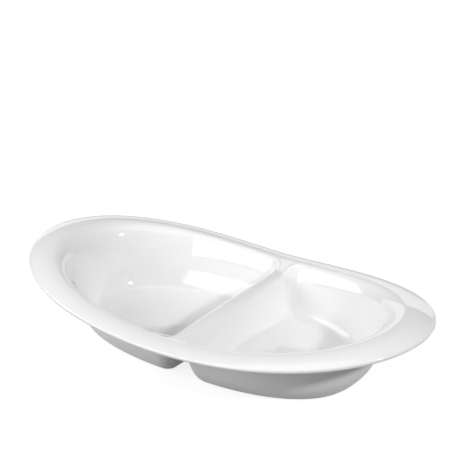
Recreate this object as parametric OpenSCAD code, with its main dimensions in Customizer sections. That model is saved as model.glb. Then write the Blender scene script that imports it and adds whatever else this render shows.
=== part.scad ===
// Divided serving bowl: a long oval dish with a saddle-shaped rim, two flat-bottomed wells and a
// hollow divider between them. The real bowl is one moulding, so its portions meet edge to edge.
// Lengths are in millimetres. The origin is under the middle of the bowl, on the surface that it
// stands on, with X along the length and the larger well on the left.

/* [Rim] */
// Overall length, over the lip
rim_length = 455; // [430:1:500]
// Overall width, over the lip
rim_width = 255; // [240:1:280]
// How far the two ends of the rim stand above the middle of its sides
rim_rise = 23; // [0:1:36]
// Thickness of the rounded lip
lip_thickness = 4.8; // [4:0.1:6]
// Height of the rim's crest above the middle of the lip, at the long sides
side_crest_rise = 5.5; // [3:0.5:8]
// The same height at the two ends
end_crest_rise = 9.5; // [4:0.5:12]

/* [Mouth] */
// Width of the rim at the two ends, from the middle of the lip to the crest round the mouth
end_ledge = 28.1; // [20:0.1:36]
// The same width at the long sides
side_ledge = 16.6; // [13:0.1:24]
// Radius of the roll from the rim into a well, at the long sides
side_roll_r = 5.5; // [5.5:0.5:9]
// Radius of the same roll at the two ends
end_roll_r = 26; // [10:1:36]

/* [Wells] */
// Depth of the floors below the middle of the lip, at the sides
well_depth = 45; // [36:1:60]
// How far a flat floor's end stands in from the end of the mouth
end_lean = 47; // [44:0.5:58]
// How far its long side stands in from the side of the mouth
side_lean = 31.5; // [28:0.5:40]
// Radius of the fillet between a wall and its floor
floor_fillet_r = 10; // [7:0.5:14]
// How far the slope at a wall's top is below its mean slope, in degrees
top_bend = 12; // [0:0.5:16]
// How far the slope at a wall's foot is below its mean slope, in degrees
foot_bend = 23; // [0:0.5:28]
// Thickness of the moulding
wall_thickness = 4; // [3:0.1:5]

/* [Divider] */
// How far the divider stands from the middle, towards the smaller well
divider_offset = 12; // [0:0.5:20]
// Depth of the divider's top below the middle of the lip, at the sides
divider_drop = 1.5; // [1:0.5:12]
// Width of the flat along the divider's top
divider_flat = 7; // [4:0.5:8]
// Gap between the two flat floors, across the divider
floor_gap = 41; // [40:1:60]
// Radius of the roll on each side of the divider's top
divider_roll_r = 6; // [5.5:0.5:6.5]
// Radius of the fillet along the divider's foot
divider_fillet_r = 8; // [6:0.5:9]
// Length over which the divider's top climbs to the rim
divider_climb = 20; // [16:1:26]
// Corner radius of a well at the mouth, beside the divider
mouth_corner_r = 18; // [14:0.5:24]
// Corner radius of a flat floor, beside the divider
floor_corner_r = 6; // [5:0.5:12]

/* [Hidden] */

// Colour of the moulding
bowl_white = [0.94, 0.94, 0.93];

// Powers of the ovals, along and across the bowl, where 2 gives an ellipse
lip_powers = [2.67, 1.98];
mouth_powers = [2.7, 2.02];
floor_powers = [2.6, 2.5];
// Power of the rim's climb towards the ends
saddle_power = 1.57;
// Share of the way to the end over which the rim's slope comes in
slope_share = 0.25;

// Steps of the curves: along a well's outer arc, round a corner, along the divider, across its top,
// over the roll, down the wall, over the fillet, across the rim and round the lip
arc_steps = 48;
corner_steps = 6;
divider_steps = 8;
top_steps = 4;
roll_steps = 6;
wall_steps = 4;
fillet_steps = 6;
flange_steps = 4;
lip_steps = 6;

// Both bends of a wall
wall_bends = [top_bend, foot_bend];

// Half sizes of the ovals
lip_r = lip_thickness / 2;
lip_half = [rim_length / 2 - lip_r, rim_width / 2 - lip_r];
mouth_half = lip_half - [end_ledge, side_ledge];
floor_half = mouth_half - [end_lean, side_lean];

// Heights above the surface that the bowl stands on
floor_z = wall_thickness;
lip_z = floor_z + well_depth;
divider_z = lip_z - divider_drop;

// The sides of a well: 1 is the smaller one on the right, -1 the larger one on the left
right = 1;
left = -1;

// A power that keeps its sign, and a step that starts and ends level
function signed_power(v, p) = sign(v) * pow(abs(v), p);
function eased(v) = let(c = min(max(v, 0), 1)) c * c * (3 - 2 * c);

// A point of an oval, and the unit normal that points into it
function oval(t, half, powers) = [
  half.x * signed_power(cos(t), 2 / powers.x),
  half.y * signed_power(sin(t), 2 / powers.y)
];
function inward(t, half, powers) = let(
  p = oval(t, half, powers),
  n = [
    signed_power(p.x / half.x, powers.x - 1) * powers.x / half.x,
    signed_power(p.y / half.y, powers.y - 1) * powers.y / half.y
  ]
) -n / norm(n);

// Height and slope of the saddle that the rim follows
function saddle(x) = lip_z + rim_rise * pow(abs(x) / lip_half.x, saddle_power);
function saddle_slope(x) =
  rim_rise * saddle_power * pow(abs(x) / lip_half.x, saddle_power - 1) / lip_half.x;

// The angle at which a corner of radius r leaves the oval, found by halving an interval. The corner
// is tangent to the oval and to the straight side at x = edge.
function corner_angle(half, powers, edge, r, low = 5, high = 110, tries = 40) =
  tries == 0 ? low : let(
    middle = (low + high) / 2,
    x = (oval(middle, half, powers) + r * inward(middle, half, powers)).x
  ) x > edge + r
    ? corner_angle(half, powers, edge, r, middle, high, tries - 1)
    : corner_angle(half, powers, edge, r, low, middle, tries - 1);

// Outline of a well on the right: an oval arc, and then a corner, a straight side and a corner
function arc_part(half, powers, angle) =
  [for (i = [0 : arc_steps]) oval(angle * (2 * i / arc_steps - 1), half, powers)];
function side_part(half, powers, angle, edge, r) = let(
  start = oval(angle, half, powers),
  centre = start + r * inward(angle, half, powers),
  spoke = start - centre,
  turn = atan2(spoke.y, spoke.x),
  corner = [for (i = [0 : corner_steps]) let(q = turn + (180 - turn) * i / corner_steps)
    centre + r * [cos(q), sin(q)]],
  line = [for (i = [1 : divider_steps - 1]) [edge, centre.y * (1 - 2 * i / divider_steps)]]
) concat(corner, line, [for (i = [corner_steps : -1 : 0]) [corner[i].x, -corner[i].y]]);

// Straight sides of the wells at the mouth and at the floor, and where their corners start
function mouth_edge(side) = divider_flat / 2 + side * divider_offset;
function floor_edge(side) = floor_gap / 2 + side * divider_offset;
function mouth_angle(side) =
  corner_angle(mouth_half, mouth_powers, mouth_edge(side), mouth_corner_r);
function floor_angle(side) =
  corner_angle(floor_half, floor_powers, floor_edge(side), floor_corner_r);

// Height of the mouth's edge: on the rim's crest along the arc, and along the divider's top where
// the well has its straight side
function crest_rise(x) = side_crest_rise
  + (end_crest_rise - side_crest_rise) * pow(x / mouth_half.x, 2);
function crest_z(x) = saddle(x) + crest_rise(x);
function side_z(p, start) = divider_z
  + (crest_z(start.x) - divider_z) * eased(1 - (abs(start.y) - abs(p.y)) / divider_climb);

// Cross-section of a wall: a roll that starts at the mouth's edge, a wall that bends in and then out
// about its chord, and a fillet that ends on the floor. It gives points [inward, up] from the mouth's
// edge, offset outwards by skin.
function wall_profile(reach, drop, roll_r, fillet_r, slope, bends, skin) = let(
  across = reach + roll_r * sin(slope),
  down = drop - roll_r * cos(slope) - fillet_r,
  span = norm([across, down]),
  turn = asin((roll_r * cos(bends[0]) + fillet_r * cos(bends[1])) / span),
  chord = atan2(down, across) + turn,
  length = span * cos(turn) + roll_r * sin(bends[0]) + fillet_r * sin(bends[1]),
  rises = [tan(bends[0]), tan(bends[1])],
  roll_centre = -roll_r * [sin(slope), cos(slope)],
  fillet_centre = [reach, fillet_r - drop],
  top = roll_centre + roll_r * [sin(chord - bends[0]), cos(chord - bends[0])]
) concat(
  [for (i = [0 : roll_steps]) let(q = slope + (chord - bends[0] - slope) * i / roll_steps)
    roll_centre + (roll_r - skin) * [sin(q), cos(q)]],
  [for (i = [1 : wall_steps - 1]) let(
      w = i / wall_steps,
      bow = length * w * (1 - w) * (rises[0] * (1 - w) - rises[1] * w),
      q = chord - atan(rises[0] * (1 - w) * (1 - 3 * w) - rises[1] * w * (2 - 3 * w))
    ) top + length * w * [cos(chord), -sin(chord)] + bow * [sin(chord), cos(chord)]
      - skin * [sin(q), cos(q)]],
  [for (i = [0 : fillet_steps]) let(q = (chord - bends[1]) * (1 - i / fillet_steps))
    fillet_centre - (fillet_r + skin) * [sin(q), cos(q)]]
);

// The same section in place, between a point of the mouth and its point of the floor
function wall_section(m, f, z, roll_r, fillet_r, slope, bends, skin) = let(
  reach = norm(f - m),
  along = (f - m) / reach,
  profile = wall_profile(reach, z - floor_z, roll_r, fillet_r, slope, bends, skin)
) [for (p = profile) [m.x + p[0] * along.x, m.y + p[0] * along.y, z + p[1]]];

// Sections along the arc of a well on the right, and along its straight side with the corners
function arc_sections(side, skin) = let(
  ms = arc_part(mouth_half, mouth_powers, mouth_angle(side)),
  fs = arc_part(floor_half, floor_powers, floor_angle(side)),
  start = ms[arc_steps]
) [for (i = [0 : arc_steps]) let(
    m = ms[i],
    endness = max(0, (m.x - start.x) / (mouth_half.x - start.x)),
    along = (fs[i] - m) / norm(fs[i] - m),
    slope = atan(-saddle_slope(m.x) * along.x) * eased(endness / slope_share),
    roll_r = side_roll_r + (end_roll_r - side_roll_r) * endness * endness
  ) wall_section(m, fs[i], crest_z(m.x), roll_r, floor_fillet_r, slope, wall_bends, skin)];
function side_sections(side, skin) = let(
  ms = side_part(mouth_half, mouth_powers, mouth_angle(side), mouth_edge(side), mouth_corner_r),
  fs = side_part(floor_half, floor_powers, floor_angle(side), floor_edge(side), floor_corner_r),
  start = ms[0]
) [for (i = [0 : len(ms) - 1]) let(
    m = ms[i],
    inner = eased((abs(start.y) - abs(m.y)) / divider_climb),
    roll_r = side_roll_r + (divider_roll_r - side_roll_r) * inner,
    fillet_r = floor_fillet_r + (divider_fillet_r - floor_fillet_r) * inner
  ) wall_section(m, fs[i], side_z(m, start), roll_r, fillet_r, 0, wall_bends * (1 - inner), skin)];

// Small helpers for lists of points
function flipped(p) = [-p.x, p.y, p.z];
function reversed(list) = [for (i = [len(list) - 1 : -1 : 0]) list[i]];
function placed(sections, side) = side == right ? sections
  : reversed([for (s = sections) [for (p = s) flipped(p)]]);
function mix(a, b, share) = a + (b - a) * share;

// Mouth of the rim from the front right round to the left and back: the top and the underside of the
// moulding on the crest. The arcs of the wells give both, and between them the oval goes on.
function crest_bridge(from, to) = [for (i = [1 : top_steps - 1])
  let(p = oval(mix(from, to, i / top_steps), mouth_half, mouth_powers)) [p.x, p.y, crest_z(p.x)]];
function crest_ring(skin) = let(
  right_arc = arc_sections(right, skin),
  left_arc = placed(arc_sections(left, skin), left),
  right_angle = mouth_angle(right),
  left_angle = 180 - mouth_angle(left),
  lift = [0, 0, skin]
) concat(
  [for (s = right_arc) s[0]],
  [for (p = crest_bridge(right_angle, left_angle)) p - lift],
  [for (s = left_arc) s[0]],
  [for (p = crest_bridge(360 - left_angle, 360 - right_angle)) p - lift]
);
function ring_angles() = let(r = mouth_angle(right), l = mouth_angle(left)) concat(
  [for (i = [0 : arc_steps]) r * (2 * i / arc_steps - 1)],
  [for (i = [1 : top_steps - 1]) mix(r, 180 - l, i / top_steps)],
  [for (i = [0 : arc_steps]) 180 + l * (2 * i / arc_steps - 1)],
  [for (i = [1 : top_steps - 1]) mix(180 + l, 360 - r, i / top_steps)]
);

// Round edge of the lip at one angle, leaning outwards as far as the rim's own slope, from its top
// to its underside. The crest point beside it gives the slope.
function lip_arc(t, crest) = let(
  c = oval(t, lip_half, lip_powers),
  out = -inward(t, lip_half, lip_powers),
  reach = norm([crest.x, crest.y] - c),
  lean = atan(2 * (crest_rise(crest.x) - lip_r) / reach - saddle_slope(c.x) * abs(out.x))
) [for (i = [0 : lip_steps]) let(q = 90 - lean - 180 * i / lip_steps)
    [c.x + lip_r * cos(q) * out.x, c.y + lip_r * cos(q) * out.y, saddle(c.x) + lip_r * sin(q)]];

// Arched line from the lip to the crest, level with the saddle where it reaches the crest
function flange_line(from, to) = [for (i = [0 : flange_steps]) let(
    share = i / flange_steps,
    p = mix(from, to, share),
    rise = (1 - (1 - share) * (1 - share))
  ) [p.x, p.y, saddle(p.x) + mix(from.z - saddle(from.x), to.z - saddle(to.x), rise)]];

// Triangles between two neighbouring closed loops of count points each
function band(a, b, count, turned) = [for (j = [0 : count - 1]) let(k = (j + 1) % count)
  each turned
    ? [[a + j, b + k, a + k], [a + j, b + j, b + k]]
    : [[a + j, a + k, b + k], [a + j, b + k, b + j]]];
// Triangles that close a loop made of a line of points and, backwards, the line below it
function end_cap(a, count, turned) = [for (j = [0 : count / 2 - 2]) let(k = count - 1 - j)
  each turned
    ? [[a + j, a + j + 1, a + k - 1], [a + j, a + k - 1, a + k]]
    : [[a + j, a + k - 1, a + j + 1], [a + j, a + k, a + k - 1]]];

// Solid through a row of closed loops: a ring, or an open row with an end cap at each end
module skin_ring(loops, turned = false) {
  count = len(loops[0]);
  polyhedron(
    points = [for (l = loops) each l],
    faces = [for (i = [0 : len(loops) - 1])
      each band(i * count, ((i + 1) % len(loops)) * count, count, turned)]
  );
}
module skin_row(loops, turned = false) {
  count = len(loops[0]);
  last = len(loops) - 1;
  polyhedron(
    points = [for (l = loops) each l],
    faces = concat(
      [for (i = [0 : last - 1]) each band(i * count, (i + 1) * count, count, turned)],
      end_cap(0, count, turned),
      end_cap(last * count, count, !turned)
    )
  );
}

// Rounded lip round the whole rim
module rim_lip() {
  crests = crest_ring(0);
  angles = ring_angles();
  color(bowl_white)
    skin_ring([for (i = [0 : len(angles) - 1]) lip_arc(angles[i], crests[i])], true);
}

// Arched flange of the rim, from the lip to the crest round the mouth
module rim_flange() {
  crests = crest_ring(0);
  unders = crest_ring(wall_thickness);
  angles = ring_angles();
  color(bowl_white) skin_ring([for (i = [0 : len(angles) - 1])
    let(edge = lip_arc(angles[i], crests[i]))
    concat(flange_line(edge[0], crests[i]), reversed(flange_line(edge[lip_steps], unders[i])))]);
}

// Curved wall of one well, from the crest round its arc down to the floor
module well_wall(side) {
  tops = placed(arc_sections(side, 0), side);
  unders = placed(arc_sections(side, wall_thickness), side);
  color(bowl_white) skin_row([for (i = [0 : arc_steps]) concat(reversed(tops[i]), unders[i])], true);
}

// Flat floor of one well
module well_floor(side) {
  arc = arc_part(floor_half, floor_powers, floor_angle(side));
  straight = side_part(floor_half, floor_powers, floor_angle(side), floor_edge(side), floor_corner_r);
  outline = concat(arc, [for (i = [1 : len(straight) - 2]) straight[i]]);
  color(bowl_white) linear_extrude(wall_thickness)
    polygon([for (p = outline) [side * p.x, p.y]]);
}

// Hollow divider: both straight walls with their corners, joined over the notch between the wells.
// Its rows run from the back to the front, and the first and last follow the mouth's oval.
module divider() {
  rows = len(side_sections(right, 0));
  right_angle = mouth_angle(right);
  left_angle = 180 - mouth_angle(left);
  function across(l, r, row, skin) = let(
    from_end = min(row, rows - 1 - row),
    bulge = max(0, 1 - from_end / corner_steps),
    back = row < rows / 2 ? 1 : -1
  ) [for (i = [1 : top_steps - 1]) let(
      share = i / top_steps,
      flat = mix(l, r, share),
      o = oval(mix(left_angle, right_angle, share), mouth_half, mouth_powers)
    ) mix(flat, [o.x, back * o.y, crest_z(o.x) - skin], bulge)];
  function line(l, r, row, skin) = concat(
    reversed([for (p = l[row]) flipped(p)]),
    across(flipped(l[row][0]), r[row][0], row, skin),
    r[row]
  );
  left_tops = side_sections(left, 0);
  right_tops = side_sections(right, 0);
  left_unders = side_sections(left, wall_thickness);
  right_unders = side_sections(right, wall_thickness);
  color(bowl_white) skin_row([for (row = [0 : rows - 1]) concat(
    line(left_tops, right_tops, row, 0),
    reversed(line(left_unders, right_unders, row, wall_thickness))
  )]);
}

module left_wall() { well_wall(left); }
module left_floor() { well_floor(left); }
module right_wall() { well_wall(right); }
module right_floor() { well_floor(right); }

rim_lip();
rim_flange();
divider();
left_wall();
left_floor();
right_wall();
right_floor();
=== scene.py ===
import math

import bpy
import numpy as np
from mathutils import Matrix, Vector


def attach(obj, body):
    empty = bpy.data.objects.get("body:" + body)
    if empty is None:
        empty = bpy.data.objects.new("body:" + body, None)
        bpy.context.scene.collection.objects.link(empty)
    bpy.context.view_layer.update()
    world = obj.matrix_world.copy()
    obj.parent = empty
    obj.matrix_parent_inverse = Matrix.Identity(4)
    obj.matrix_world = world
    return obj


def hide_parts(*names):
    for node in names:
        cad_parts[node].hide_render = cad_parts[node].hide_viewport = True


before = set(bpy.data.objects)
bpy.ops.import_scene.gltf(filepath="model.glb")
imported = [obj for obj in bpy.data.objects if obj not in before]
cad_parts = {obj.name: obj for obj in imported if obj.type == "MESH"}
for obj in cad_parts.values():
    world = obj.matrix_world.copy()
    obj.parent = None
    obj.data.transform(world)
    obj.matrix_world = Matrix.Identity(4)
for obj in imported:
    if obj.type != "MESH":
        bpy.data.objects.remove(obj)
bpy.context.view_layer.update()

# Camera at the photograph's angle, in metres, degrees and millimetres of lens. It stands "toRight"
# and "toTop" off the line through the bowl's middle.
cameraSet = {
    "azimuth": 35.007,
    "elevation": 23.35,
    "distance": 1.2375,
    "toRight": 0.01148,
    "toTop": 0.06617,
    "pivotHeight": 0.049,
    "lens": 94.35,
    "clipStart": 0.05,
}


def makeCamera(s):
    az, el = math.radians(s["azimuth"]), math.radians(s["elevation"])
    right = Vector((math.cos(az), math.sin(az), 0))
    back = Vector((math.sin(az) * math.cos(el), -math.cos(az) * math.cos(el), math.sin(el)))
    top = back.cross(right)
    data = bpy.data.cameras.new("photoCamera")
    data.lens = s["lens"]
    data.clip_start = s["clipStart"]
    cam = bpy.data.objects.new("photoCamera", data)
    cam.location = (Vector((0, 0, s["pivotHeight"])) + s["toRight"] * right + s["toTop"] * top
                    + s["distance"] * back)
    cam.rotation_euler = (math.pi / 2 - el, 0, az)
    bpy.context.collection.objects.link(cam)
    bpy.context.scene.camera = cam


makeCamera(cameraSet)
print("camera placed")

# Sizes of the bowl in metres and its bends in degrees. The shape follows the CAD part's formulas;
# the walls' values were set apart from the CAD's, for the reflections in the photograph.
bowlSet = {
    "rimLength": 0.4548,
    "rimWidth": 0.2548,
    "rimRise": 0.02295,
    "lipThickness": 0.0048,
    "sideCrestRise": 0.0055,
    "endCrestRise": 0.0095,
    "mouthLength": 0.394,
    "mouthWidth": 0.217,
    "sideRoll": 0.008,
    "endRoll": 0.026,
    "wellDepth": 0.045,
    "floorLength": 0.298,
    "leftFloorWidth": 0.151,
    "rightFloorWidth": 0.148,
    "floorFillet": 0.008,
    "leftTopBend": 6.0,
    "rightTopBend": 15.0,
    "leftFootBend": 16.0,
    "rightFootBend": 26.0,
    "wall": 0.004,
    "dividerOffset": 0.012,
    "dividerDrop": 0.0015,
    "dividerFlat": 0.007,
    "floorGap": 0.041,
    "dividerRoll": 0.006,
    "dividerFillet": 0.008,
    "dividerClimb": 0.020,
    "mouthCorner": 0.018,
    "floorCorner": 0.006,
    "lipPowers": (2.67, 1.98),
    "mouthPowers": (2.7, 2.02),
    "floorPowers": (2.6, 2.5),
    "saddlePower": 1.57,
    "slopeShare": 0.25,
}
# How finely each stretch is divided, and the search for the corners' angle, in degrees
stepSet = {"arc": 240, "corner": 24, "line": 60, "bridge": 12, "roll": 36, "wall": 20, "fillet": 20,
           "flange": 12, "floor": 6, "lipRound": 24, "halvings": 60,
           "cornerSearch": (5, 110)}

b = bowlSet
lipRadius = b["lipThickness"] / 2
lipHalf = (b["rimLength"] / 2 - lipRadius, b["rimWidth"] / 2 - lipRadius)
mouthHalf = (b["mouthLength"] / 2, b["mouthWidth"] / 2)
floorTop = b["wall"]
lipHeight = floorTop + b["wellDepth"]
dividerTop = lipHeight - b["dividerDrop"]


def signedPower(v, p):
    return np.sign(v) * np.abs(v) ** p


def eased(v):
    c = np.clip(v, 0, 1)
    return c * c * (3 - 2 * c)


def ovalPoint(t, half, powers):
    return np.stack([half[0] * signedPower(np.cos(t), 2 / powers[0]),
                     half[1] * signedPower(np.sin(t), 2 / powers[1])], -1)


def ovalInward(t, half, powers):
    p = ovalPoint(t, half, powers)
    n = np.stack([signedPower(p[..., k] / half[k], powers[k] - 1) * powers[k] / half[k]
                  for k in (0, 1)], -1)
    return -n / np.linalg.norm(n, axis=-1, keepdims=True)


def saddleHeight(x):
    return lipHeight + b["rimRise"] * (np.abs(x) / lipHalf[0]) ** b["saddlePower"]


def saddleSlope(x):
    return (b["rimRise"] * b["saddlePower"] * (np.abs(x) / lipHalf[0]) ** (b["saddlePower"] - 1)
            / lipHalf[0])


def crestRise(x):
    return b["sideCrestRise"] + (b["endCrestRise"] - b["sideCrestRise"]) * (x / mouthHalf[0]) ** 2


def crestHeight(x):
    return saddleHeight(x) + crestRise(x)


def cornerAngle(half, powers, edge, r):
    # halves the range until the corner's circle touches both the oval and the straight edge
    low, high = (math.radians(q) for q in stepSet["cornerSearch"])
    for _ in range(stepSet["halvings"]):
        middle = (low + high) / 2
        t = np.array(middle)
        x = (ovalPoint(t, half, powers) + r * ovalInward(t, half, powers))[0]
        low, high = (middle, high) if x > edge + r else (low, middle)
    return low


def wellOutline(half, powers, edge, r):
    # the oval arc from front to back, then the corner, the straight side and the other corner
    angle = cornerAngle(half, powers, edge, r)
    arc = ovalPoint(np.linspace(-angle, angle, stepSet["arc"] + 1), half, powers)
    start = arc[-1]
    centre = start + r * ovalInward(np.array(angle), half, powers)
    spoke = start - centre
    turn = math.atan2(spoke[1], spoke[0])
    q = np.linspace(turn, math.pi, stepSet["corner"] + 1)
    corner = centre + r * np.stack([np.cos(q), np.sin(q)], -1)
    y = np.linspace(centre[1], -centre[1], stepSet["line"] + 1)[1:-1]
    line = np.stack([np.full_like(y, edge), y], -1)
    side = np.concatenate([corner, line, corner[::-1] * (1, -1)])
    return arc, side, angle


def wallSections(m, f, z, rollR, filletR, slope, topBend, footBend, skin):
    # roll, slightly S-shaped wall and fillet between the mouth's edge and the floor's edge
    reach = np.linalg.norm(f - m, axis=-1)
    along = (f - m) / reach[:, None]
    drop = z - floorTop
    across = reach + rollR * np.sin(slope)
    down = drop - rollR * np.cos(slope) - filletR
    span = np.hypot(across, down)
    turn = np.arcsin((rollR * np.cos(topBend) + filletR * np.cos(footBend)) / span)
    chord = np.arctan2(down, across) + turn
    length = span * np.cos(turn) + rollR * np.sin(topBend) + filletR * np.sin(footBend)
    rollEnd, filletStart = chord - topBend, chord - footBend
    points = []
    for k in range(stepSet["roll"] + 1):
        q = slope + (rollEnd - slope) * k / stepSet["roll"]
        points.append((-rollR * np.sin(slope) + (rollR - skin) * np.sin(q),
                       -rollR * np.cos(slope) + (rollR - skin) * np.cos(q)))
    top = (rollR * (np.sin(rollEnd) - np.sin(slope)), rollR * (np.cos(rollEnd) - np.cos(slope)))
    for k in range(1, stepSet["wall"]):
        w = k / stepSet["wall"]
        bow = length * w * (1 - w) * (np.tan(topBend) * (1 - w) - np.tan(footBend) * w)
        q = chord - np.arctan(np.tan(topBend) * (1 - w) * (1 - 3 * w)
                              - np.tan(footBend) * w * (2 - 3 * w))
        points.append((
            top[0] + length * w * np.cos(chord) + bow * np.sin(chord) - skin * np.sin(q),
            top[1] - length * w * np.sin(chord) + bow * np.cos(chord) - skin * np.cos(q)))
    for k in range(stepSet["fillet"] + 1):
        q = filletStart * (1 - k / stepSet["fillet"])
        points.append((reach - (filletR + skin) * np.sin(q),
                       filletR - drop - (filletR + skin) * np.cos(q)))
    return np.stack([np.stack([m[:, 0] + p[0] * along[:, 0], m[:, 1] + p[0] * along[:, 1],
                               z + p[1]], -1) for p in points], 1)


def wellSections(side, skin):
    # side is 1 for the smaller well on the right and -1 for the larger one on the left
    mouthEdge = b["dividerFlat"] / 2 + side * b["dividerOffset"]
    floorEdge = b["floorGap"] / 2 + side * b["dividerOffset"]
    mArc, mSide, angle = wellOutline(mouthHalf, b["mouthPowers"], mouthEdge, b["mouthCorner"])
    well = "right" if side > 0 else "left"
    floorHalf = (b["floorLength"] / 2, b[well + "FloorWidth"] / 2)
    fArc, fSide, _ = wellOutline(floorHalf, b["floorPowers"], floorEdge, b["floorCorner"])
    start = mArc[-1]
    endness = np.clip((mArc[:, 0] - start[0]) / (mouthHalf[0] - start[0]), 0, None)
    along = (fArc - mArc) / np.linalg.norm(fArc - mArc, axis=-1, keepdims=True)
    slope = (np.arctan(-saddleSlope(mArc[:, 0]) * along[:, 0])
             * eased(endness / b["slopeShare"]))
    rollR = b["sideRoll"] + (b["endRoll"] - b["sideRoll"]) * endness ** 2
    topBend, footBend = (math.radians(b[well + key]) for key in ("TopBend", "FootBend"))
    arc = wallSections(mArc, fArc, crestHeight(mArc[:, 0]), rollR, b["floorFillet"], slope,
                       topBend, footBend, skin)
    inner = eased((abs(start[1]) - np.abs(mSide[:, 1])) / b["dividerClimb"])
    startTop = crestHeight(start[0])
    z = dividerTop + (startTop - dividerTop) * eased(
        1 - (abs(start[1]) - np.abs(mSide[:, 1])) / b["dividerClimb"])
    rollSide = b["sideRoll"] + (b["dividerRoll"] - b["sideRoll"]) * inner
    filletSide = b["floorFillet"] + (b["dividerFillet"] - b["floorFillet"]) * inner
    straight = wallSections(mSide, fSide, z, rollSide, filletSide, np.zeros(len(mSide)),
                            topBend * (1 - inner), footBend * (1 - inner), skin)
    if side < 0:
        arc = arc[::-1] * (-1, 1, 1)
        straight = straight * (-1, 1, 1)
    return arc, straight, angle


def ovalRing(rightAngle, leftAngle):
    # the angles of the mouth's ring: right arc, back bridge, left arc, front bridge
    bridge = np.arange(1, stepSet["bridge"]) / stepSet["bridge"]
    low, high = rightAngle, math.pi - leftAngle
    return np.concatenate([
        np.linspace(-rightAngle, rightAngle, stepSet["arc"] + 1),
        low + (high - low) * bridge,
        np.linspace(math.pi - leftAngle, math.pi + leftAngle, stepSet["arc"] + 1),
        2 * math.pi - high + (high - low) * bridge])


def crestRing(skin, rightArc, leftArc, ringAngles):
    n = stepSet["arc"] + 1
    bridges = []
    inner = stepSet["bridge"] - 1
    for part in (ringAngles[n:n + inner], ringAngles[2 * n + inner:]):
        p = ovalPoint(part, mouthHalf, b["mouthPowers"])
        bridges.append(np.column_stack([p, crestHeight(p[:, 0]) - skin]))
    return np.concatenate([rightArc[:, 0], bridges[0], leftArc[:, 0], bridges[1]])


def lipEdges(ringAngles, crests):
    # where the flange's top and underside leave the round lip, and the outward normals there
    c = ovalPoint(ringAngles, lipHalf, b["lipPowers"])
    out = -ovalInward(ringAngles, lipHalf, b["lipPowers"])
    reach = np.linalg.norm(crests[:, :2] - c, axis=-1)
    lean = np.arctan(2 * (crestRise(crests[:, 0]) - lipRadius) / reach
                     - saddleSlope(c[:, 0]) * np.abs(out[:, 0]))
    q = math.pi / 2 - lean
    n = np.column_stack([out * np.cos(q)[:, None], np.sin(q)])
    centre = np.column_stack([c, saddleHeight(c[:, 0])])
    return centre, centre + lipRadius * n, centre - lipRadius * n, n


def flangeRows(edge, crest):
    rows = []
    edgeUp, crestUp = edge[:, 2] - saddleHeight(edge[:, 0]), crest[:, 2] - saddleHeight(crest[:, 0])
    for k in range(stepSet["flange"] + 1):
        w = k / stepSet["flange"]
        p = edge + (crest - edge) * w
        arch = 1 - (1 - w) ** 2
        p[:, 2] = saddleHeight(p[:, 0]) + edgeUp + (crestUp - edgeUp) * arch
        rows.append(p)
    return np.stack(rows, 1)


def dividerRows(left, right, leftAngle, rightAngle, skin):
    # left wall, crest and right wall in one row of points, from the back to the front
    n = len(right)
    low, high = rightAngle, math.pi - leftAngle
    rows = []
    for row in range(n):
        fromEnd = min(row, n - 1 - row)
        bulge = max(0.0, 1 - fromEnd / stepSet["corner"])
        back = 1 if row < n / 2 else -1
        l, r = left[row, 0], right[row, 0]
        bridge = []
        for k in range(1, stepSet["bridge"]):
            w = k / stepSet["bridge"]
            flat = l + (r - l) * w
            o = ovalPoint(np.array(high + (low - high) * w), mouthHalf, b["mouthPowers"])
            onOval = np.array([o[0], back * o[1], crestHeight(o[0]) - skin])
            bridge.append(flat + (onOval - flat) * bulge)
        rows.append(np.concatenate([left[row, ::-1], np.array(bridge), right[row]]))
    return np.stack(rows)


class ShellMesh:
    # collects the shell's faces by piece; points that coincide share one number and one normal
    def __init__(self):
        self.numbers, self.points, self.faces = {}, [], {}

    def number(self, p):
        key = (round(p[0] * 1e6), round(p[1] * 1e6), round(p[2] * 1e6))
        if key not in self.numbers:
            self.numbers[key] = len(self.points)
            self.points.append(tuple(p))
        return self.numbers[key]

    def grid(self, piece, points, flip, around=False, joint=False):
        ids = [[self.number(p) for p in row] for row in points]
        rows = len(ids)
        for i in range(rows if around else rows - 1):
            for j in range(len(ids[0]) - 1):
                k = (i + 1) % rows
                face = [ids[i][j], ids[k][j], ids[k][j + 1], ids[i][j + 1]]
                face = [v for n, v in enumerate(face) if v != face[n - 1]]
                if len(face) > 2:
                    self.faces.setdefault(piece, []).append((face[::-1] if flip else face, joint))

    def normals(self):
        points = np.array(self.points)
        total = np.zeros_like(points)
        for faces in self.faces.values():
            for face, joint in faces:
                if joint:
                    continue
                p = points[face]
                n = np.cross(p[1] - p[0], p[2] - p[0])
                if len(face) == 4:
                    n = n + np.cross(p[2] - p[0], p[3] - p[0])
                for v in face:
                    total[v] += n
        return total / np.maximum(np.linalg.norm(total, axis=1, keepdims=True), 1e-20)


rightTop, rightSideTop, rightAngle = wellSections(1, 0)
rightUnder, rightSideUnder, _ = wellSections(1, b["wall"])
leftTop, leftSideTop, leftAngle = wellSections(-1, 0)
leftUnder, leftSideUnder, _ = wellSections(-1, b["wall"])
ringAngles = ovalRing(rightAngle, leftAngle)
crestTop = crestRing(0, rightTop, leftTop, ringAngles)
crestUnder = crestRing(b["wall"], rightUnder, leftUnder, ringAngles)
lipPath, edgeTop, edgeUnder, edgeNormal = lipEdges(ringAngles, crestTop)

shell = ShellMesh()

# the arched flange
flangeTop, flangeUnder = flangeRows(edgeTop, crestTop), flangeRows(edgeUnder, crestUnder)
shell.grid("rimFlange", flangeTop, False, around=True)
shell.grid("rimFlange", flangeUnder, True, around=True)
shell.grid("rimFlange", np.stack([edgeUnder, edgeTop], 1), False, around=True, joint=True)
shell.grid("rimFlange", np.stack([crestTop, crestUnder], 1), False, around=True, joint=True)

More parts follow.
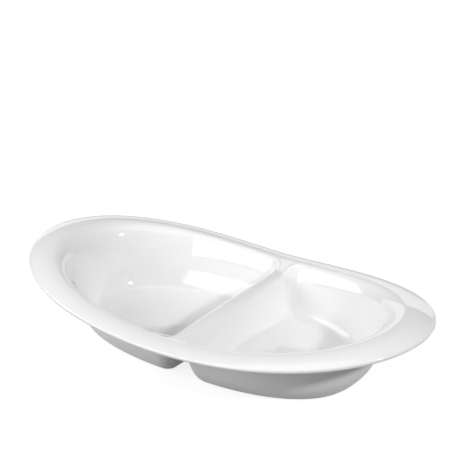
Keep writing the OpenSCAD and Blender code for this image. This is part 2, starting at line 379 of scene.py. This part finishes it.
# the curved walls
for piece, top, under in (("rightWall", rightTop, rightUnder), ("leftWall", leftTop, leftUnder)):
    shell.grid(piece, top, False)
    shell.grid(piece, under, True)
    shell.grid(piece, np.stack([under[:, 0], top[:, 0]], 1), False, joint=True)
    shell.grid(piece, np.stack([top[:, -1], under[:, -1]], 1), False, joint=True)
    shell.grid(piece, np.stack([under[0], top[0]]), False, joint=True)
    shell.grid(piece, np.stack([top[-1], under[-1]]), False, joint=True)

# the divider
dividerUp = dividerRows(leftSideTop, rightSideTop, leftAngle, rightAngle, 0)
dividerDown = dividerRows(leftSideUnder, rightSideUnder, leftAngle, rightAngle, b["wall"])
shell.grid("wellDivider", dividerUp, False)
shell.grid("wellDivider", dividerDown, True)
shell.grid("wellDivider", np.stack([dividerDown[:, 0], dividerUp[:, 0]], 1), False, joint=True)
shell.grid("wellDivider", np.stack([dividerUp[:, -1], dividerDown[:, -1]], 1), False, joint=True)
shell.grid("wellDivider", np.stack([dividerDown[0], dividerUp[0]]), False, joint=True)
shell.grid("wellDivider", np.stack([dividerUp[-1], dividerDown[-1]]), False, joint=True)

# the flat floors, as rings that shrink to a middle point
for piece, side, arc, straight in (("rightFloor", 1, rightTop, rightSideTop),
                                   ("leftFloor", -1, leftTop, leftSideTop)):
    loop = np.concatenate([arc[:, -1], (straight if side > 0 else straight[::-1])[1:-1, -1]])
    middle = (loop.min(0) + loop.max(0)) / 2
    shares = [1 - k / stepSet["floor"] for k in range(stepSet["floor"] + 1)]
    top = np.stack([middle + (loop - middle) * w for w in shares], 1)
    under = top - (0, 0, b["wall"])
    shell.grid(piece, top, False, around=True)
    shell.grid(piece, under, True, around=True)
    shell.grid(piece, np.stack([under[:, 0], top[:, 0]], 1), False, around=True, joint=True)
print("shell points", len(shell.points))

shellNormals = shell.normals()
for p, n in zip(edgeTop, edgeNormal):
    shellNormals[shell.number(p)] = n
for p, n in zip(edgeUnder, edgeNormal):
    shellNormals[shell.number(p)] = -n


def makeShellPiece(name):
    faces = shell.faces[name]
    used = sorted({v for face, _ in faces for v in face})
    place = {v: k for k, v in enumerate(used)}
    mesh = bpy.data.meshes.new(name)
    mesh.from_pydata([shell.points[v] for v in used], [], [[place[v] for v in f] for f, _ in faces])
    mesh.update()
    mesh.shade_smooth()
    loopNormals = []
    for poly, (face, joint) in zip(mesh.polygons, faces):
        for v in face:
            loopNormals.append(tuple(poly.normal) if joint else tuple(shellNormals[v]))
    mesh.normals_split_custom_set(loopNormals)
    obj = bpy.data.objects.new(name, mesh)
    bpy.context.collection.objects.link(obj)
    return obj


pieces = {name: makeShellPiece(name) for name in shell.faces}
print("shell pieces", {k: len(o.data.polygons) for k, o in pieces.items()})

# The round lip: a circle swept round the rim's path by Geometry Nodes
lipSet = {"Lip Radius": lipRadius, "Profile Steps": stepSet["lipRound"]}


def makeLipTree():
    tree = bpy.data.node_groups.new("lipSweep", "GeometryNodeTree")
    tree.interface.new_socket("Geometry", in_out="INPUT", socket_type="NodeSocketGeometry")
    tree.interface.new_socket("Lip Radius", in_out="INPUT", socket_type="NodeSocketFloat")
    tree.interface.new_socket("Profile Steps", in_out="INPUT", socket_type="NodeSocketInt")
    tree.interface.new_socket("Finish", in_out="INPUT", socket_type="NodeSocketMaterial")
    tree.interface.new_socket("Geometry", in_out="OUTPUT", socket_type="NodeSocketGeometry")
    nodes, links = tree.nodes, tree.links
    given = nodes.new("NodeGroupInput")
    toCurve = nodes.new("GeometryNodeMeshToCurve")
    circle = nodes.new("GeometryNodeCurvePrimitiveCircle")
    sweep = nodes.new("GeometryNodeCurveToMesh")
    smooth = nodes.new("GeometryNodeSetShadeSmooth")
    realize = nodes.new("GeometryNodeRealizeInstances")
    finish = nodes.new("GeometryNodeSetMaterial")
    result = nodes.new("NodeGroupOutput")
    links.new(given.outputs["Geometry"], toCurve.inputs["Mesh"])
    links.new(given.outputs["Lip Radius"], circle.inputs["Radius"])
    links.new(given.outputs["Profile Steps"], circle.inputs["Resolution"])
    links.new(toCurve.outputs["Curve"], sweep.inputs["Curve"])
    links.new(circle.outputs["Curve"], sweep.inputs["Profile Curve"])
    links.new(sweep.outputs["Mesh"], smooth.inputs["Geometry"])
    links.new(smooth.outputs["Geometry"], realize.inputs["Geometry"])
    links.new(realize.outputs["Geometry"], finish.inputs["Geometry"])
    links.new(given.outputs["Finish"], finish.inputs["Material"])
    links.new(finish.outputs["Geometry"], result.inputs["Geometry"])
    return tree


def bakePiece(obj, name):
    # turns the evaluated object into a plain mesh and drops the modifier
    graph = bpy.context.evaluated_depsgraph_get()
    mesh = bpy.data.meshes.new_from_object(obj.evaluated_get(graph))
    mesh.name = name
    old = obj.data
    obj.modifiers.clear()
    obj.data = mesh
    bpy.data.meshes.remove(old)
    obj.name = name
    return obj


def makeLip(path, finish):
    mesh = bpy.data.meshes.new("rimLipPath")
    edges = [(k, (k + 1) % len(path)) for k in range(len(path))]
    mesh.from_pydata([tuple(p) for p in path], edges, [])
    obj = bpy.data.objects.new("rimLip", mesh)
    bpy.context.collection.objects.link(obj)
    tree = makeLipTree()
    mod = obj.modifiers.new("lipSweep", "NODES")
    values = dict(lipSet, Finish=finish)
    mod.node_group = tree
    for item in tree.interface.items_tree:
        if item.item_type == "SOCKET" and item.in_out == "INPUT" and item.name in values:
            mod[item.identifier] = values[item.name]
    return bakePiece(obj, "rimLip")


# Moulded white finish: hard gloss with a faint unevenness, soft clouds and fine scuffs
finishSet = {
    "colour": (0.85, 0.85, 0.85, 1),
    "warmColour": (0.843, 0.843, 0.84, 1),
    "roughness": 0.03,
    "scuffRoughness": 0.16,
    "scuffShare": 0.5,
    "haze": 0.03,
    "cloudScale": 9.0,
    "rippleScale": 55.0,
    "rippleDepth": 0.00002,
    "grainScale": 2600.0,
    "grainDepth": 0.0000012,
    "ior": 1.55,
}
# The scuffs' layers, each a turn in radians and a size, and how far each one is stretched
scuffSet = {
    "layers": ((0.5, 1.0), (1.9, 1.3), (2.7, 0.8)),
    "stretch": (14, 900, 40),
    "range": (0.70, 0.80),
    "cloudDetail": 4,
    "cloudRoughness": 0.55,
}


def addNode(tree, kind, **values):
    node = tree.nodes.new(kind)
    for key, value in values.items():
        setattr(node, key, value)
    return node


def makeScuffGroup(s):
    # outputs a mask of short fine scuffs and one of soft clouds, both from Object coordinates
    tree = bpy.data.node_groups.new("tablewareWear", "ShaderNodeTree")
    tree.interface.new_socket("Position", in_out="INPUT", socket_type="NodeSocketVector")
    tree.interface.new_socket("Cloud Scale", in_out="INPUT", socket_type="NodeSocketFloat")
    tree.interface.new_socket("Scuffs", in_out="OUTPUT", socket_type="NodeSocketFloat")
    tree.interface.new_socket("Clouds", in_out="OUTPUT", socket_type="NodeSocketFloat")
    given, result = tree.nodes.new("NodeGroupInput"), tree.nodes.new("NodeGroupOutput")
    links = tree.links
    clouds = addNode(tree, "ShaderNodeTexNoise")
    clouds.inputs["Detail"].default_value = s["cloudDetail"]
    clouds.inputs["Roughness"].default_value = s["cloudRoughness"]
    links.new(given.outputs["Position"], clouds.inputs["Vector"])
    links.new(given.outputs["Cloud Scale"], clouds.inputs["Scale"])
    links.new(clouds.outputs["Fac"], result.inputs["Clouds"])
    masks = []
    along, across, up = s["stretch"]
    for turn, size in s["layers"]:
        place = addNode(tree, "ShaderNodeMapping")
        place.inputs["Rotation"].default_value = (0, 0, turn)
        place.inputs["Scale"].default_value = (along * size, across * size, up)
        scratch = addNode(tree, "ShaderNodeTexNoise")
        scratch.inputs["Scale"].default_value = 1.0
        scratch.inputs["Detail"].default_value = 1.0
        ramp = addNode(tree, "ShaderNodeMapRange")
        ramp.inputs["From Min"].default_value, ramp.inputs["From Max"].default_value = s["range"]
        links.new(given.outputs["Position"], place.inputs["Vector"])
        links.new(place.outputs["Vector"], scratch.inputs["Vector"])
        links.new(scratch.outputs["Fac"], ramp.inputs["Value"])
        masks.append(ramp)
    joined = masks[0]
    for ramp in masks[1:]:
        add = addNode(tree, "ShaderNodeMath", operation="MAXIMUM")
        links.new(joined.outputs[0], add.inputs[0])
        links.new(ramp.outputs[0], add.inputs[1])
        joined = add
    links.new(joined.outputs[0], result.inputs["Scuffs"])
    return tree


scuffGroup = makeScuffGroup(scuffSet)


def makeMouldedWhite(name, s):
    mat = bpy.data.materials.new(name)
    mat.use_nodes = True
    tree = mat.node_tree
    links = tree.links
    shader = tree.nodes["Principled BSDF"]
    shader.inputs["IOR"].default_value = s["ior"]
    coords = addNode(tree, "ShaderNodeTexCoord")
    wear = addNode(tree, "ShaderNodeGroup", node_tree=scuffGroup)
    wear.inputs["Cloud Scale"].default_value = s["cloudScale"]
    links.new(coords.outputs["Object"], wear.inputs["Position"])
    tone = addNode(tree, "ShaderNodeMix", data_type="RGBA")
    tone.inputs["A"].default_value = s["colour"]
    tone.inputs["B"].default_value = s["warmColour"]
    links.new(wear.outputs["Clouds"], tone.inputs["Factor"])
    links.new(tone.outputs["Result"], shader.inputs["Base Color"])
    share = addNode(tree, "ShaderNodeMath", operation="MULTIPLY")
    share.inputs[1].default_value = s["scuffShare"]
    links.new(wear.outputs["Scuffs"], share.inputs[0])
    gloss = addNode(tree, "ShaderNodeMapRange")
    gloss.inputs["To Min"].default_value = s["roughness"]
    gloss.inputs["To Max"].default_value = s["scuffRoughness"]
    links.new(share.outputs[0], gloss.inputs["Value"])
    haze = addNode(tree, "ShaderNodeMath", operation="MULTIPLY_ADD")
    haze.inputs[1].default_value = s["haze"]
    links.new(wear.outputs["Clouds"], haze.inputs[0])
    links.new(gloss.outputs[0], haze.inputs[2])
    links.new(haze.outputs[0], shader.inputs["Roughness"])
    ripple = addNode(tree, "ShaderNodeTexNoise")
    ripple.inputs["Scale"].default_value = s["rippleScale"]
    ripple.inputs["Detail"].default_value = 1.0
    grain = addNode(tree, "ShaderNodeTexNoise")
    grain.inputs["Scale"].default_value = s["grainScale"]
    links.new(coords.outputs["Object"], ripple.inputs["Vector"])
    links.new(coords.outputs["Object"], grain.inputs["Vector"])
    rippleBump = addNode(tree, "ShaderNodeBump")
    rippleBump.inputs["Distance"].default_value = s["rippleDepth"]
    grainBump = addNode(tree, "ShaderNodeBump")
    grainBump.inputs["Distance"].default_value = s["grainDepth"]
    links.new(ripple.outputs["Fac"], rippleBump.inputs["Height"])
    links.new(grain.outputs["Fac"], grainBump.inputs["Height"])
    links.new(rippleBump.outputs["Normal"], grainBump.inputs["Normal"])
    links.new(grainBump.outputs["Normal"], shader.inputs["Normal"])
    return mat


mouldedWhite = makeMouldedWhite("mouldedWhite", finishSet)
pieces["rimLip"] = makeLip(lipPath, mouldedWhite)
standsFor = {"rimLip": "rim_lip", "rimFlange": "rim_flange", "wellDivider": "divider",
             "leftWall": "left_wall", "leftFloor": "left_floor",
             "rightWall": "right_wall", "rightFloor": "right_floor"}
for name, obj in pieces.items():
    if name != "rimLip":
        obj.data.materials.append(mouldedWhite)
    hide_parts(standsFor[name])
    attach(obj, "root")
print("pieces placed")

# Studio: a table that looks white, a window-like soft box on the left, a small distant lamp on the
# right, a canopy overhead and a low pale backdrop, in a dim room. "level" scales the four lamps.
studioSet = {
    "floorColour": (0.34, 0.34, 0.34, 1),
    "floorGlow": 0.82,
    "floorFade": (0.45, 1.5),
    "floorShine": 0.5,
    "floorDrop": 0.0002,
    "floorReach": 6.0,
    "roomLight": 0.06,
    "level": 0.63,
    "leftBox": {"place": (-0.739, -0.946, 0.665), "target": (0, 0, 0.665), "size": (1.88, 0.79),
                "radiance": 4.5},
    "keyLamp": {"place": (1.676, -0.286, 1.169), "target": (0, 0, 0.03), "size": (0.15, 0.15),
                "radiance": 370.0},
    "canopy": {"place": (0, -0.25, 1.5), "target": (0, 0, 0.03), "size": (1.7, 1.5),
               "radiance": 1.5},
    "backdrop": {"place": (-1.3, 2.1, 0.42), "target": (0, 0, 0.3), "size": (4.8, 0.75),
                 "radiance": 1.4},
}


def makeFloor(s):
    mat = bpy.data.materials.new("studioFloor")
    mat.use_nodes = True
    tree = mat.node_tree
    tree.nodes.clear()
    out = addNode(tree, "ShaderNodeOutputMaterial")
    diffuse = addNode(tree, "ShaderNodeBsdfDiffuse")
    diffuse.inputs["Color"].default_value = s["floorColour"]
    glow = addNode(tree, "ShaderNodeEmission")
    rays = addNode(tree, "ShaderNodeLightPath")
    add = addNode(tree, "ShaderNodeAddShader")
    share = addNode(tree, "ShaderNodeMath", operation="MULTIPLY")
    # full white far from the bowl, a little less near it so that the shadow shows
    coords = addNode(tree, "ShaderNodeTexCoord")
    away = addNode(tree, "ShaderNodeVectorMath", operation="LENGTH")
    fade = addNode(tree, "ShaderNodeMapRange")
    fade.inputs["From Min"].default_value, fade.inputs["From Max"].default_value = s["floorFade"]
    fade.inputs["To Min"].default_value = s["floorGlow"]
    tree.links.new(coords.outputs["Object"], away.inputs[0])
    tree.links.new(away.outputs["Value"], fade.inputs["Value"])
    tree.links.new(fade.outputs[0], share.inputs[1])
    # the gloss sees the white too, so that the far edge doesn't darken
    seen = addNode(tree, "ShaderNodeMath", operation="MULTIPLY_ADD")
    seen.inputs[1].default_value = s["floorShine"]
    tree.links.new(rays.outputs["Is Glossy Ray"], seen.inputs[0])
    tree.links.new(rays.outputs["Is Camera Ray"], seen.inputs[2])
    tree.links.new(seen.outputs[0], share.inputs[0])
    tree.links.new(share.outputs[0], glow.inputs["Strength"])
    tree.links.new(diffuse.outputs[0], add.inputs[0])
    tree.links.new(glow.outputs[0], add.inputs[1])
    tree.links.new(add.outputs[0], out.inputs["Surface"])
    mesh = bpy.data.meshes.new("studioFloor")
    # a hair below the bowl, so that no two faces share a plane
    w, z = s["floorReach"], -s["floorDrop"]
    mesh.from_pydata([(-w, -w, z), (w, -w, z), (w, w, z), (-w, w, z)], [], [(0, 1, 2, 3)])
    mesh.materials.append(mat)
    obj = bpy.data.objects.new("studioFloor", mesh)
    bpy.context.collection.objects.link(obj)


def makeWorld(s):
    world = bpy.data.worlds.new("studioWorld")
    bpy.context.scene.world = world
    world.use_nodes = True
    tree = world.node_tree
    tree.nodes.clear()
    out = addNode(tree, "ShaderNodeOutputWorld")
    seen = addNode(tree, "ShaderNodeBackground")
    seen.inputs["Color"].default_value = (1, 1, 1, 1)
    room = addNode(tree, "ShaderNodeBackground")
    room.inputs["Color"].default_value = (1, 1, 1, 1)
    room.inputs["Strength"].default_value = s["roomLight"]
    rays = addNode(tree, "ShaderNodeLightPath")
    mix = addNode(tree, "ShaderNodeMixShader")
    tree.links.new(rays.outputs["Is Camera Ray"], mix.inputs["Fac"])
    tree.links.new(room.outputs[0], mix.inputs[1])
    tree.links.new(seen.outputs[0], mix.inputs[2])
    tree.links.new(mix.outputs[0], out.inputs["Surface"])


def makeSoftBox(name, s):
    data = bpy.data.lights.new(name, "AREA")
    data.shape = "RECTANGLE"
    data.size, data.size_y = s["size"]
    # an area lamp's power is four times its radiance times its area
    data.energy = 4 * studioSet["level"] * s["radiance"] * data.size * data.size_y
    obj = bpy.data.objects.new(name, data)
    obj.location = s["place"]
    obj.rotation_euler = (Vector(s["target"]) - obj.location).to_track_quat("-Z", "Y").to_euler()
    obj.visible_camera = False
    bpy.context.collection.objects.link(obj)


makeFloor(studioSet)
makeWorld(studioSet)
for name in ("leftBox", "keyLamp", "canopy", "backdrop"):
    makeSoftBox(name, studioSet[name])

scene = bpy.context.scene
scene.view_settings.view_transform = "Standard"
print("studio lit")
